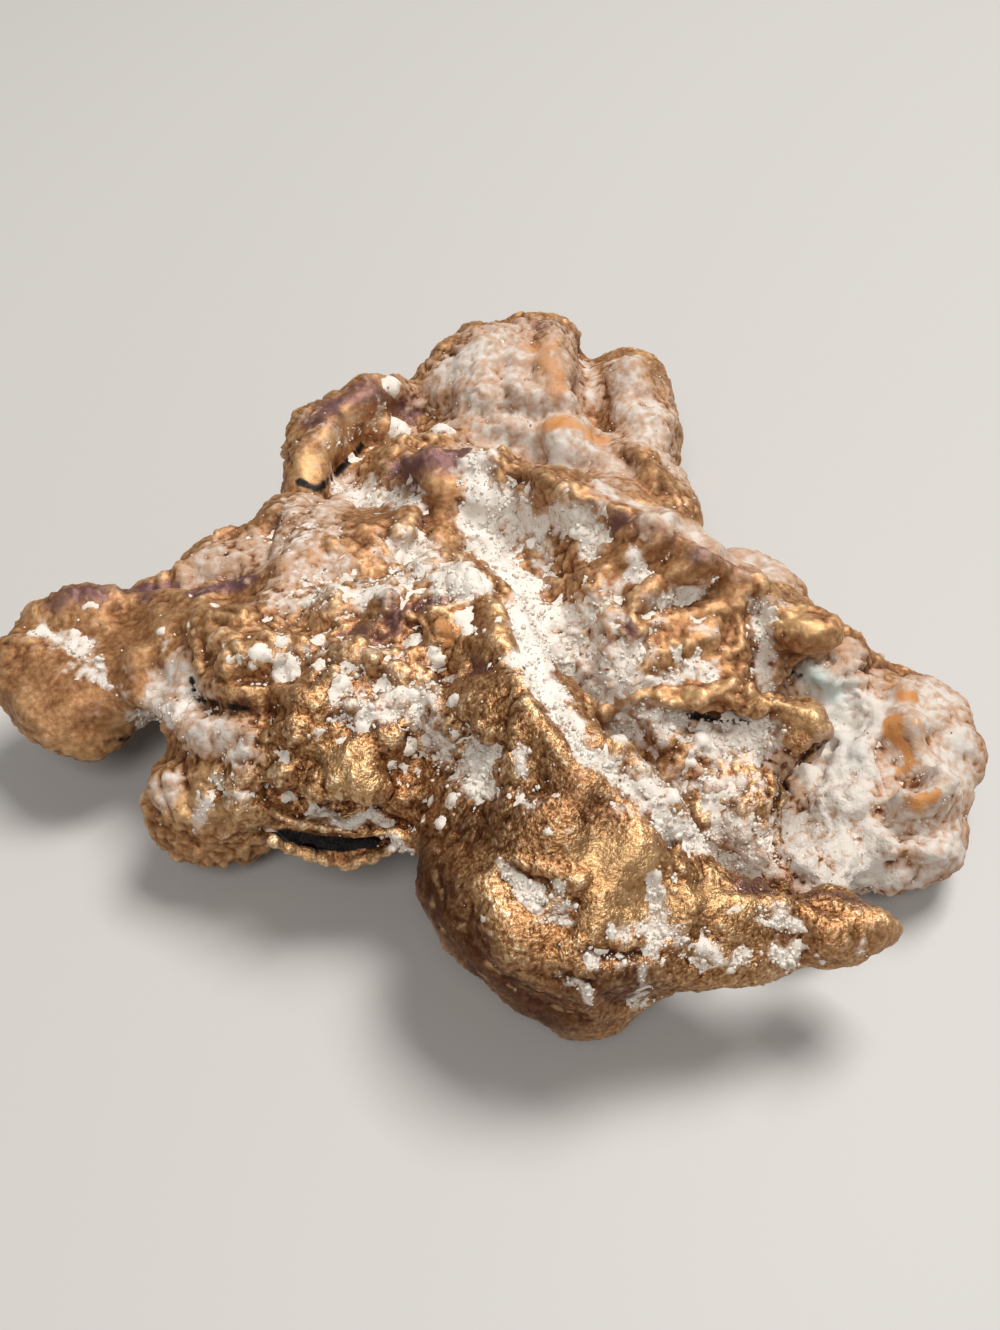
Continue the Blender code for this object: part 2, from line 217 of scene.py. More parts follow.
# Each fold and lump has its rise and its reach in millimetres of metal, then its spots.
FOLDS = {
    "left lobe crease": (-0.8, 1.4, [(112, 590), (135, 625), (146, 665), (150, 715), (168, 748)]),
    "left lobe dish": (-0.5, 2.6, [(60, 650), (95, 670)]),
    "left lobe rim": (0.5, 1.1, [(18, 700), (50, 738), (95, 750), (135, 733)]),
    "lower left crease": (-0.9, 1.1, [(268, 750), (252, 790), (262, 838)]),
    "bulge to lip groove": (-1.7, 0.9, [(262, 792), (300, 808), (350, 808), (405, 824)]),
    "lip": (0.5, 0.9, [(272, 806), (310, 822), (350, 833), (385, 836)]),
    "terrace edge": (1.3, 1.0, [(202, 655), (208, 684), (235, 690), (275, 692), (312, 694)]),
    "terrace undercut": (-1.4, 0.8, [(190, 665), (196, 698), (222, 706), (262, 710)]),
    "back left ledge": (0.5, 1.0, [(120, 594), (180, 592), (245, 575)]),
    "back left drop": (-1.2, 1.2, [(150, 582), (200, 576), (250, 560), (268, 522)]),
    "hook band": (0.8, 1.4, [(292, 482), (302, 450), (330, 418), (365, 398), (388, 392)]),
    "hook undercut": (-1.5, 1.0, [(315, 492), (335, 478), (352, 455), (370, 438), (400, 425)]),
    "hook nub": (0.8, 0.9, [(397, 383), (399, 388)]),
    "saddle edge": (-0.9, 0.8, [(396, 462), (412, 486), (426, 512), (412, 545)]),
    "main ridge crest": (0.7, 1.1, [
        (452, 562), (474, 578), (490, 604), (502, 640), (514, 672), (530, 704), (558, 738),
    ]),
    "main ridge foot": (-1.0, 0.9, [
        (470, 548), (495, 580), (512, 612), (526, 655), (545, 698), (575, 735), (612, 760),
        (645, 795), (676, 838),
    ]),
    "boulder undercut": (-1.4, 0.8, [(445, 672), (446, 705), (462, 735), (492, 745)]),
    "bulb corner arc": (0.5, 0.7, [(405, 790), (425, 782), (445, 778), (468, 786)]),
    "slab crest": (0.8, 0.9, [
        (400, 462), (435, 455), (475, 452), (520, 464), (560, 478), (600, 500), (650, 518),
        (690, 543), (730, 562), (765, 582),
    ]),
    "slab back drop": (-1.0, 1.2, [
        (410, 446), (450, 434), (500, 438), (550, 455), (600, 480), (650, 500), (700, 532),
        (745, 556),
    ]),
    "slab right edge": (0.7, 0.9, [(735, 602), (745, 622), (741, 648), (735, 672), (742, 690)]),
    "slab right drop": (-1.2, 0.9, [(757, 604), (760, 640), (756, 672), (770, 688)]),
    "flute groove 1": (-0.45, 0.7, [(606, 596), (630, 580), (655, 560), (672, 545)]),
    "flute groove 2": (-0.45, 0.7, [(615, 618), (650, 604), (684, 594), (708, 584)]),
    "flute groove 3": (-0.4, 0.6, [(628, 652), (650, 632), (672, 618)]),
    "flute groove 4": (-0.4, 0.6, [(646, 680), (672, 676), (712, 670)]),
    "flute groove 5": (-0.4, 0.4, [(662, 662), (680, 652), (698, 648)]),
    "flute rib 1": (0.35, 0.8, [(592, 566), (620, 556), (646, 538), (664, 526)]),
    "flute rib 2": (0.35, 0.8, [(628, 592), (655, 576), (690, 560), (716, 562)]),
    "flute rib 3": (0.35, 0.8, [(660, 618), (690, 604), (735, 600)]),
    "flute rib 4": (0.35, 0.7, [(640, 664), (668, 645), (700, 632)]),
    "front rib left": (0.45, 0.6, [(594, 706), (622, 700), (648, 690), (676, 703)]),
    "front rib right": (0.5, 0.7, [(690, 702), (708, 690), (730, 684), (752, 692), (790, 706)]),
    "front rib notch": (-0.6, 0.5, [(676, 686), (684, 698), (680, 710)]),
    "front rib undercut": (-1.7, 0.7, [(668, 716), (690, 716), (728, 720), (768, 724)]),
    "upper knob undercut": (-1.6, 0.8, [(772, 658), (802, 664), (832, 655)]),
    "knob recess": (-1.2, 1.0, [(795, 680), (818, 694)]),
    "far right crack": (-2.2, 0.55, [
        (826, 742), (806, 756), (786, 776), (778, 806), (774, 842), (788, 868), (806, 884),
    ]),
    "far hook top": (0.9, 1.0, [(888, 730), (915, 727), (935, 716)]),
    "far hook stem": (1.2, 1.2, [(900, 715), (912, 745), (926, 770), (932, 790)]),
    "far hook finger": (1.7, 0.8, [(934, 786), (932, 799), (914, 804), (898, 798)]),
    "far hook shade": (-1.6, 0.9, [(880, 808), (905, 828), (935, 824)]),
    "far hook hollow": (-0.9, 1.2, [(880, 745), (900, 775), (880, 785)]),
    "far right dip": (-0.9, 1.3, [(850, 815), (880, 870), (915, 868)]),
    "far right seam": (-0.8, 0.9, [(845, 690), (850, 730), (845, 770)]),
    "hump seam 1": (-0.8, 1.1, [(532, 330), (526, 370), (532, 402)]),
    "hump seam 2": (-1.3, 1.2, [(580, 338), (590, 375), (596, 425), (625, 460), (660, 488)]),
    "hump seam 3": (-0.7, 1.0, [(505, 335), (498, 370), (500, 400)]),
    "hump step": (-1.1, 1.1, [(485, 408), (520, 406), (575, 404)]),
    "hump step 2": (-0.8, 1.0, [(532, 415), (532, 458)]),
    "front slit": (-4.2, 0.75, [(268, 830), (290, 838), (320, 845), (350, 849), (380, 846)]),
    "lower left foot": (-1.4, 2.2, [(190, 850), (225, 860), (255, 852)]),
    "horn neck": (-0.5, 0.55, [(794, 918), (798, 935), (801, 950), (804, 968)]),
    "horn back crease": (-0.5, 0.45, [(672, 872), (705, 882), (750, 886), (790, 893), (830, 906)]),
    "bulb dent": (-0.9, 1.2, [(508, 886), (535, 900), (562, 916)]),
    "bulb dent step": (-0.9, 0.45, [(502, 866), (530, 874), (556, 884), (576, 896)]),
    "bulb dent lip": (0.5, 0.7, [(500, 858), (535, 864), (575, 878)]),
    "bulb cleft": (-0.6, 0.6, [(648, 876), (654, 905), (652, 940)]),
    "bulb cleft arm": (-0.5, 0.5, [(615, 930), (655, 926), (695, 944)]),
    "bulb belly crease": (-0.7, 0.45, [(586, 950), (620, 955), (650, 951), (690, 958), (704, 968)]),
    "bulb belly foot": (-0.5, 0.5, [(560, 975), (590, 985), (620, 1005), (650, 998)]),
    "bulb fold": (-0.5, 0.5, [(696, 928), (720, 940), (745, 952)]),
    "bulb flank line 1": (-0.4, 0.35, [
        (434, 868), (440, 905), (474, 950), (522, 996), (588, 1020),
    ]),
    "bulb flank line 2": (-0.35, 0.3, [
        (446, 880), (456, 915), (488, 955), (530, 990), (575, 1005),
    ]),
    "bulb flank line 3": (-0.35, 0.3, [(424, 880), (430, 915), (462, 960), (505, 1004)]),
    "bulb flank line 4": (-0.35, 0.3, [(462, 895), (474, 930), (506, 962), (548, 975)]),
    "talus vein": (-0.6, 0.5, [(672, 836), (700, 842), (722, 858), (748, 872)]),
}
LUMPS = {
    "plateau bulges": (1.0, 2.1, [(345, 757), (310, 728), (385, 738), (285, 722)]),
    "plateau front": (0.8, 1.8, [(368, 784), (318, 786), (272, 772)]),
    "plateau humps": (1.05, 1.8, [(268, 638), (350, 644), (435, 615), (440, 688), (390, 595)]),
    "plateau knobs": (0.85, 1.1, [
        (330, 672), (374, 658), (396, 668), (420, 676), (376, 696), (398, 690), (225, 664),
        (406, 612), (226, 630), (252, 656), (345, 700), (458, 668), (215, 642), (300, 640),
    ]),
    "boulder": (1.0, 2.6, [(480, 690)]),
    "boulder foot": (0.5, 1.4, [(478, 728), (500, 745)]),
    "lower left": (0.5, 2.0, [(230, 804), (204, 776), (166, 780), (178, 812)]),
    "ear shelf": (0.6, 1.9, [(130, 650), (140, 690), (195, 622), (232, 650)]),
    "back left": (0.7, 2.4, [(305, 540), (360, 560), (290, 575), (330, 600)]),
    "back left knobs": (0.6, 1.3, [
        (355, 458), (400, 436), (382, 462), (345, 490), (390, 500), (415, 500), (290, 510),
        (320, 506), (365, 528), (400, 528), (280, 560), (335, 540),
    ]),
    "saddle humps": (0.9, 2.2, [(430, 462), (435, 490), (440, 542), (442, 430)]),
    "gully lumps": (0.5, 1.3, [(500, 470), (520, 490), (485, 545), (505, 520), (540, 540)]),
    "slab lumps": (0.42, 1.3, [
        (580, 546), (560, 584), (592, 584), (628, 552), (650, 540), (680, 566), (608, 612),
        (630, 620), (572, 622), (602, 648), (556, 640), (585, 672), (570, 700), (600, 705),
        (706, 628), (690, 645), (720, 650), (710, 612), (640, 640), (660, 655), (690, 665),
        (725, 620), (735, 640), (648, 588), (670, 590), (700, 575), (730, 580),
    ]),
    "upper knob": (0.5, 1.5, [(784, 620), (808, 624)]),
    "lower knob": (0.55, 1.1, [(806, 712), (818, 722)]),
    "far knob": (1.4, 1.6, [(902, 694)]),
    "far right": (0.6, 1.8, [
        (850, 800), (880, 845), (840, 860), (930, 850), (960, 740), (950, 800), (860, 740),
        (820, 800), (810, 850), (900, 880), (850, 690), (800, 780),
    ]),
    "back hump": (1.0, 3.4, [
        (480, 350), (556, 360), (632, 372), (505, 436), (560, 430), (645, 425),
    ]),
    "back hump knobs": (0.7, 1.8, [
        (442, 345), (440, 395), (480, 392), (515, 350), (522, 388), (570, 398), (556, 456),
        (605, 450), (622, 402), (625, 500), (660, 508), (672, 456), (600, 480),
    ]),
    "bulb crown": (0.6, 3.4, [(605, 852), (632, 860)]),
    "bulb back": (0.35, 1.6, [(530, 800), (560, 830), (600, 900), (680, 900)]),
    "horn end": (0.7, 1.9, [(824, 932)]),
    "horn shoulder": (0.5, 1.6, [(772, 899), (792, 904)]),
    "lip end": (0.6, 1.2, [(402, 852)]),
    "talus lumps": (0.6, 1.1, [
        (620, 740), (662, 734), (700, 745), (640, 768), (686, 752), (740, 750), (670, 795),
        (710, 780), (740, 800), (700, 815), (755, 770), (735, 830), (765, 845), (650, 720),
    ]),
}
LIP = [
    (268, 837), (284, 845), (306, 852), (330, 859), (346, 861), (354, 857), (370, 855),
    (392, 844),
]
LIP_FRONT = -30.0
LIP_THICK, LIP_BROAD = 0.36, 1.6
LIP_SWELL, LIP_SWELLS = 0.18, 1.1
BALL_STEP = 3.0


def add_strand(piece, spots, front, thick):
    """A thin strand of copper along the spots, in the upright plane y = front.

    It is a row of balls, drawn out to a ribbon, with radius thick x (1 + swell x sine of
    the ball's number), which the next skin joins to the body.
    """
    spots = np.array(spots, float)
    runs = np.hypot(*np.diff(spots, axis=0).T)
    along = np.concatenate([[0.0], np.cumsum(runs)])
    stops = np.arange(0.0, along[-1], BALL_STEP)
    ways = sight_lines(np.stack([np.interp(stops, along, spots[:, k]) for k in (0, 1)], axis=1))
    bm = bmesh.new()
    bm.from_mesh(piece.data)
    for k, way in enumerate(ways):
        centre = Vector(EYE) + Vector(way) * ((front - EYE[1]) / way[1])
        ball = Matrix.Translation(centre * MM) @ Matrix.Diagonal((1.0, LIP_BROAD, 1.0, 1.0))
        radius = thick * MM * (1 + LIP_SWELL * math.sin(LIP_SWELLS * k))
        bmesh.ops.create_icosphere(bm, subdivisions=2, radius=radius, matrix=ball)
    bm.to_mesh(piece.data)
    bm.free()


work_in(nugget, FOLDS, LUMPS)
add_strand(nugget, LIP, LIP_FRONT, LIP_THICK)
reskin(nugget, SKIN_VOXEL, SKIN_EASING)


# --- The copper body: weathered surface -------------------------------------------------
# Where the copper grew against rock it is knobbly all over; where it was rubbed, on the
# bulb, the horn and the ear at the left, it is smooth. The knobs are domes round scattered
# centres, large ones with small ones on them, and the hollows between them hold crust.

# Sizes, rises, depths and reaches are millimetres.
BEND_SIZE, BEND = 2.6, 0.9
KNOBBLY_SIZE = 6.0
BROAD_SIZE, BROAD_RISE = 4.4, 0.75
PUFF_SIZE, PUFF_RISE = 2.1, 0.60
KNOB_SIZE, KNOB_RISE = 1.7, 0.48
FINE_SIZE, FINE_RISE = 1.0, 0.30
PIT_SIZE, PIT_DEPTH, PIT_START, PIT_SPAN = 1.3, 0.45, 0.45, 0.4
DIMPLE_SIZE, DIMPLE_RISE = 1.2, 0.10
GRAIN_SIZE, GRAIN_RISE = 0.65, 0.20
PUFF_MEAN = 0.28
GRAINED_REACH = 12.0
CLOUD_GAIN = 1.8
# Large odd numbers that scramble the place of a cell into chance.
CELL_STIR = np.array([73856093, 19349663, 83492791])
SEED_STIR, SALT_STIR = 15485863, 668265263
FIRST_STIR, SECOND_STIR = 0x2C1B3C6D, 0x297A2D39
LOW_BITS = 0xFFFFFFFF


def dice(cells, seed):
    """Three even random numbers from 0 to 1 for each whole-numbered cell of space."""
    keys = cells.astype(np.int64) @ CELL_STIR + seed * SEED_STIR
    drawn = []
    for salt in (1, 2, 3):
        mixed = (keys + salt * SALT_STIR) & LOW_BITS
        mixed = ((mixed ^ (mixed >> 15)) * FIRST_STIR) & LOW_BITS
        mixed = ((mixed ^ (mixed >> 12)) * SECOND_STIR) & LOW_BITS
        drawn.append((mixed ^ (mixed >> 15)) / LOW_BITS)
    return np.stack(drawn, axis=-1)


def cloud(points, size, seed):
    """Smooth noise, about -1 to 1: a random slope at each cell corner, blended between."""
    base = np.floor(points / size)
    share = points / size - base
    blend = share**3 * (share * (share * 6 - 15) + 10)
    total = np.zeros(len(points))
    for corner in np.ndindex(2, 2, 2):
        weight = np.prod(np.where(corner, blend, 1 - blend), axis=1)
        slope = dice(base + corner, seed) * 2 - 1
        total += weight * (slope * (share - corner)).sum(axis=1)
    return total * CLOUD_GAIN


def nearest_two(points, size, seed):
    """Distances, in cell sizes, to the nearest and second nearest of one centre per cell."""
    spots = points / size
    base = np.floor(spots)
    first = np.full(len(points), 9.0)
    second = first.copy()
    for step in np.ndindex(3, 3, 3):
        cell = base + np.array(step) - 1
        gap = np.linalg.norm(cell + dice(cell, seed) - spots, axis=1)
        second = np.minimum(second, np.maximum(first, gap))
        first = np.minimum(first, gap)
    return first, second


def knobs(points, size, seed):
    """Domes from 0 to 1 with sharp creases: part gap between centres, part roundness."""
    first, second = nearest_two(points, size, seed)
    crease = np.clip((second - first) / 0.35, 0, 1)
    return 0.55 * crease * (2 - crease) + 0.45 * (1 - np.clip(first / 0.9, 0, 1) ** 2)


def puffs(points, size, seed):
    """The size of a noise value less its mean: smooth swellings that meet in sharp creases."""
    return np.abs(cloud(points, size, seed)) - PUFF_MEAN


def near(points, tree, spots, reach):
    """How close the skin is to a line of spots: exp(-(gap / reach)^2)."""
    return np.exp(-((gap_to(points, dropped(tree, spots), reach) / reach) ** 2))


# Each rubbed place has its reach in millimetres, how smooth it is, and its spots.
RUBBED = {
    "bulb": (8.0, 0.78, [(560, 830), (600, 860), (560, 930), (600, 980)]),
    "bulb flank": (5.0, 0.85, [(435, 860), (445, 920), (490, 980), (560, 1020), (620, 1020)]),
    "bulb neck": (3.5, 0.8, [(560, 750), (600, 790), (640, 830)]),
    "horn": (5.0, 0.85, [(700, 930), (770, 940), (840, 935), (895, 938)]),
    "ear": (6.5, 0.85, [(40, 670), (90, 680), (120, 640)]),
    "boulder": (2.2, 0.7, [(475, 675), (490, 700)]),
    "front bulge": (2.6, 0.5, [(290, 760), (350, 765)]),
    "slab": (4.0, 0.6, [(650, 570), (690, 600), (700, 650)]),
    "hook": (3.2, 0.9, [(300, 470), (320, 440), (360, 405), (395, 390)]),
    "hump": (7.0, 0.5, [(470, 370), (530, 360), (630, 390), (530, 440)]),
    "hump foot": (5.0, 0.65, [(620, 470), (660, 505), (710, 540), (750, 560)]),
    "back left": (6.0, 0.5, [(250, 570), (320, 540), (360, 480)]),
    "saddle": (2.2, 0.6, [(415, 465), (440, 490), (440, 540)]),
    "terrace": (1.6, 0.6, [(210, 684), (240, 690), (300, 692)]),
    "knobs": (2.2, 0.6, [(800, 628), (812, 715)]),
    "far hook": (1.6, 0.7, [(900, 694), (925, 765), (934, 796), (905, 804)]),
    "far rim": (4.0, 0.5, [(960, 700), (978, 760), (965, 830), (940, 875)]),
    "valley": (2.0, 0.8, [(520, 580), (530, 640), (560, 710)]),
    "slit": (2.0, 0.85, [(268, 812), (285, 836), (320, 843), (350, 850), (385, 850)]),
    "slit lip": (1.0, 0.6, LIP),
}
GRAINED = [(330, 780), (480, 770), (540, 860), (600, 960), (700, 940), (800, 860)]


def weather(piece):
    """Moves the skin along its normal by puffs, knobs and pits, less where it is rubbed."""
    points, normals = read_skin(piece)
    tree = BVHTree.FromObject(piece, bpy.context.evaluated_depsgraph_get())
    rough = np.ones(len(points))
    for reach, strength, spots in RUBBED.values():
        rough = np.minimum(rough, 1 - strength * near(points, tree, spots, reach))
    bent = points + BEND * np.stack([cloud(points, BEND_SIZE, 11 + k) for k in range(3)], axis=1)
    knobbly = np.clip(0.65 + 0.8 * cloud(points, KNOBBLY_SIZE, 14), 0.2, 1.0)
    height = BROAD_RISE * puffs(bent, BROAD_SIZE, 20)
    height += PUFF_RISE * knobbly * puffs(bent, PUFF_SIZE, 21)
    height += KNOB_RISE * knobbly * (knobs(bent, KNOB_SIZE, 22) - 0.5)
    height += FINE_RISE * puffs(points, FINE_SIZE, 23)
    pits = np.clip(cloud(points, PIT_SIZE, 25) - PIT_START, 0, PIT_SPAN)
    height -= PIT_DEPTH * knobbly * pits / PIT_SPAN
    grained = 0.3 + 0.7 * near(points, tree, GRAINED, GRAINED_REACH)
    height *= rough
    height += DIMPLE_RISE * grained * puffs(bent, DIMPLE_SIZE, 27)
    height += GRAIN_RISE * grained * puffs(points, GRAIN_SIZE, 24)
    write_skin(piece, points + normals * height[:, None])


def fit_to_frame(piece):
    """Brings the skin to the frame's own size, and wears it flat where it would sink in.

    Across and along, p becomes low + (p - skin low) x frame span / skin span; upwards it is
    scaled to the frame's top and held at the ground.
    """
    points, _ = read_skin(piece)
    low, high = np.array(cad_low) / MM, np.array(cad_high) / MM
    points[:, 2] = np.maximum(points[:, 2], 0) * high[2] / points[:, 2].max()
    skin_low = points.min(axis=0)
    spans = points.max(axis=0) - skin_low
    write_skin(piece, low + (points - skin_low) * (high - low) / spans)


weather(nugget)
fit_to_frame(nugget)


# --- The crust, the tarnish and the painted light and shade: where they lie -------------
# White lime and clay from the rock still fill the hollows, and the skin is turned brown,
# gilded or purpled in patches. Some patches are painted light and shade: the dark brown ones
# also paint shade on the bulb's left flank, its chin and the undercuts, the gold ones also
# paint a highlight on the bulb's crown and front, the violet ones also paint a dark
# reflection on the edges turned back, and the darkest patches are painted shade in the
# deepest cracks and undercuts. Each patch has its reach in millimetres, its strength, and a
# line of spots as the eye sees it.
CRUST = {
    "valley head": (2.1, 1.1, [(478, 462), (482, 495), (475, 530), (500, 545), (512, 575)]),
    "valley": (1.75, 1.4, [(520, 580), (525, 620), (532, 660), (545, 690)]),
    "valley side": (2.3, 1.1, [(548, 610), (552, 640), (560, 665)]),
    "valley foot": (1.3, 1.0, [(556, 705), (585, 745), (615, 775)]),
    "valley tail": (1.3, 0.85, [(650, 800), (676, 828), (700, 842), (745, 858)]),
    "slab left": (3.6, 0.80, [(590, 610), (585, 650), (610, 665)]),
    "slab head": (2.2, 0.9, [(560, 525), (580, 520), (590, 545)]),
    "slab shoulder": (2.4, 0.75, [(530, 520), (548, 560)]),
    "gully flank": (2.6, 0.8, [(400, 550), (425, 570), (462, 580)]),
    "gully head": (2.0, 1.1, [(500, 505), (520, 520), (495, 560)]),
    "groove 1": (0.9, 0.95, [(606, 596), (626, 580), (645, 562), (630, 552)]),
    "groove 2": (1.0, 0.9, [(618, 618), (650, 604), (684, 594), (706, 585)]),
    "groove 3": (0.9, 0.9, [(625, 660), (636, 645), (655, 622)]),
    "groove 4": (0.7, 1.0, [(642, 682), (662, 677), (714, 671)]),
    "groove 5": (0.5, 0.9, [(665, 662), (680, 652), (696, 648)]),
    "slab spot": (0.9, 0.7, [(700, 628), (712, 630)]),
    "talus top": (1.4, 0.95, [(620, 728), (636, 715), (680, 718), (645, 742)]),
    "talus right": (2.0, 0.85, [(700, 742), (740, 745), (770, 735)]),
    "talus": (4.2, 0.52, [(640, 775), (690, 790), (745, 775)]),
    "talus foot": (2.6, 0.7, [(735, 835), (765, 850)]),
    "slab step": (1.4, 0.85, [(762, 615), (760, 655), (770, 680)]),
    "plateau back": (2.6, 0.64, [(360, 592), (400, 580), (440, 575)]),
    "plateau band": (2.4, 0.38, [(290, 650), (350, 655), (420, 660)]),
    "plateau edge": (2.2, 0.62, [(355, 705), (420, 700), (440, 745)]),
    "bulb corner": (1.7, 1.1, [(468, 766), (490, 756), (480, 782)]),
    "bulge groove": (0.8, 1.0, [(310, 813), (350, 817), (390, 822)]),
    "lip end": (0.8, 0.95, [(396, 842), (406, 850), (410, 862)]),
    "bulb dent": (0.65, 1.0, [(502, 873), (520, 882), (538, 896), (552, 908), (568, 914)]),
    "bulb dent end": (0.6, 0.95, [(560, 886), (566, 898), (548, 918)]),
    "bulb dent foot": (0.6, 0.95, [(545, 920), (575, 924)]),
    "bulb cleft": (0.75, 0.95, [(650, 878), (653, 900), (655, 930), (650, 950)]),
    "bulb cleft arm": (0.7, 0.9, [(614, 932), (632, 928), (655, 926), (690, 942)]),
    "bulb belly": (0.6, 0.9, [(592, 960), (625, 968), (645, 976), (640, 990)]),
    "bulb belly drip": (0.6, 0.85, [(640, 975), (642, 1002)]),
    "bulb chin": (0.5, 0.9, [(562, 982), (580, 992), (590, 1006)]),
    "bulb side": (0.7, 0.95, [(700, 962), (708, 950)]),
    "bulb side patch": (0.8, 0.95, [(734, 950), (748, 956)]),
    "bulb back": (0.8, 0.75, [(520, 795), (535, 802)]),
    "bulb back spots": (0.6, 0.8, [(540, 830), (556, 828)]),
    "bulb back streak": (0.5, 0.75, [(520, 745), (528, 775)]),
    "horn neck": (0.9, 0.9, [(762, 916), (785, 912), (794, 926)]),
    "horn neck foot": (0.9, 0.9, [(776, 945), (792, 956)]),
    "horn spot": (0.5, 0.9, [(730, 910), (738, 912)]),
    "horn tip": (0.5, 0.8, [(864, 946), (870, 948)]),
    "left streak": (0.95, 1.05, [(38, 632), (60, 637), (84, 650), (102, 663)]),
    "left streak foot": (0.7, 1.0, [(70, 665), (88, 668), (104, 673)]),
    "left spot": (0.65, 0.95, [(102, 681), (118, 690)]),
    "left top patch": (0.8, 0.95, [(155, 627), (168, 640)]),
    "left top spot": (0.7, 0.7, [(92, 606), (98, 608)]),
    "left bay": (1.6, 0.8, [(152, 705), (142, 726), (185, 700)]),
    "lower left": (0.9, 0.8, [(202, 808), (198, 832)]),
    "lower left top": (1.0, 0.7, [(240, 800), (216, 776)]),
    "back left": (3.2, 0.5, [(285, 600), (330, 590), (290, 505)]),
    "hook": (2.0, 0.55, [(330, 440), (380, 410)]),
    "back left band": (1.8, 0.7, [(340, 488), (385, 500), (418, 500)]),
}
BLOBS = {
    "beads": (1.35, [(288, 668), (398, 430), (442, 428), (478, 580), (575, 522), (391, 384)]),
    "large": (0.9, [
        (341, 682), (405, 694), (258, 652), (336, 698), (355, 460), (435, 652), (400, 560),
        (465, 620), (465, 580), (420, 572), (505, 440), (470, 765), (560, 600), (548, 645),
        (620, 738), (700, 738), (645, 790), (672, 792), (625, 655), (605, 670), (590, 690),
    ]),
    "middle": (0.7, [
        (318, 667), (347, 664), (430, 697), (362, 727), (450, 800), (440, 820), (412, 640),
        (440, 578), (320, 640), (160, 632), (217, 606), (280, 758), (288, 796), (272, 830),
        (430, 740), (410, 745), (452, 700), (385, 716), (442, 660), (470, 632), (490, 560),
        (530, 545), (600, 640), (572, 612), (640, 730), (752, 750), (742, 740), (690, 760),
        (340, 588), (310, 600), (285, 640), (640, 580), (660, 604), (650, 680), (690, 592),
    ]),
    "small": (0.5, [
        (396, 764), (406, 766), (316, 640), (330, 720), (372, 712), (240, 660), (250, 665),
        (455, 815), (425, 755), (447, 742), (415, 720), (436, 718), (455, 735), (420, 772),
        (380, 682), (392, 676), (350, 648), (300, 650), (270, 654), (398, 780), (405, 800),
        (480, 800), (432, 800), (425, 818), (340, 740), (316, 730), (500, 620), (522, 500),
        (545, 570), (585, 600), (612, 630), (625, 690), (680, 740), (715, 760), (700, 790),
        (730, 790), (665, 770), (720, 822), (750, 820), (620, 760), (655, 750), (755, 790),
        (95, 606), (112, 686), (190, 625), (225, 645), (228, 660), (182, 700), (208, 712),
        (505, 800), (528, 770), (556, 798), (546, 832), (482, 915), (614, 930), (737, 910),
        (566, 886), (868, 946), (680, 930), (694, 944), (712, 952), (738, 950), (666, 962),
    ]),
}
BARE = {
    "dome": (1.5, [(558, 548), (570, 565), (578, 590)]),
    "horn back": (0.9, [(690, 862), (712, 870), (735, 878), (760, 884), (785, 890), (805, 897)]),
    "broad": (1.0, [(615, 560), (640, 610), (668, 632), (655, 690), (705, 560), (430, 520)]),
    "crescent": (0.7, [(598, 650), (610, 640), (622, 620), (640, 626), (632, 612), (590, 628)]),
    "dots": (0.55, [
        (545, 605), (532, 560), (560, 630), (548, 680), (575, 665), (590, 700), (500, 535),
        (515, 522), (490, 512), (530, 545), (570, 702), (585, 716), (610, 590), (605, 675),
        (650, 740), (668, 770), (700, 760), (730, 770), (690, 800), (400, 585), (425, 590),
    ]),
}
COAT = {
    "far right": (6.5, 1.15, [(845, 720), (850, 790), (850, 850)]),
    "far right rim": (6.0, 0.88, [(930, 700), (955, 760), (930, 850)]),
    "far right foot": (4.0, 1.15, [(790, 830), (820, 880), (870, 870)]),
    "hump left": (4.2, 0.85, [(450, 365), (480, 345), (482, 390)]),
    "hump middle": (3.4, 0.8, [(515, 345), (510, 400), (530, 385)]),
    "hump tier": (3.4, 0.9, [(495, 435), (522, 440), (556, 458)]),
    "hump crumb": (1.6, 0.8, [(570, 398), (578, 410)]),
    "hump seam": (1.5, 0.85, [(588, 365), (594, 398)]),
    "bump": (4.2, 0.78, [(620, 360), (638, 395), (650, 430)]),
    "bump foot": (2.8, 0.8, [(610, 492), (650, 508), (690, 535)]),
    "hump all": (14.0, 0.78, [(500, 370), (540, 420), (620, 440)]),
    "back flank": (5.0, 0.75, [(720, 545), (780, 580)]),
    "bay": (2.8, 0.95, [(165, 690), (185, 670), (200, 725), (235, 742)]),
    "lower left": (1.8, 0.8, [(165, 780), (160, 800)]),
    "lower left top": (1.6, 0.5, [(230, 810)]),
    "talus": (4.5, 0.48, [(680, 780), (730, 800), (760, 850)]),
    "talus foot": (2.4, 0.8, [(750, 840), (800, 885)]),
    "ear": (3.6, 0.45, [(40, 640), (90, 635), (110, 690)]),
    "back left": (5.0, 0.66, [(210, 565), (300, 540), (340, 490)]),
    "back left rim": (4.0, 0.6, [(280, 570), (330, 560), (300, 600)]),
    "hook side": (2.4, 0.6, [(345, 480), (390, 490), (290, 510)]),
    "hook": (2.0, 0.5, [(310, 430), (300, 400)]),
    "slab left": (4.5, 0.45, [(590, 610), (590, 650)]),
}
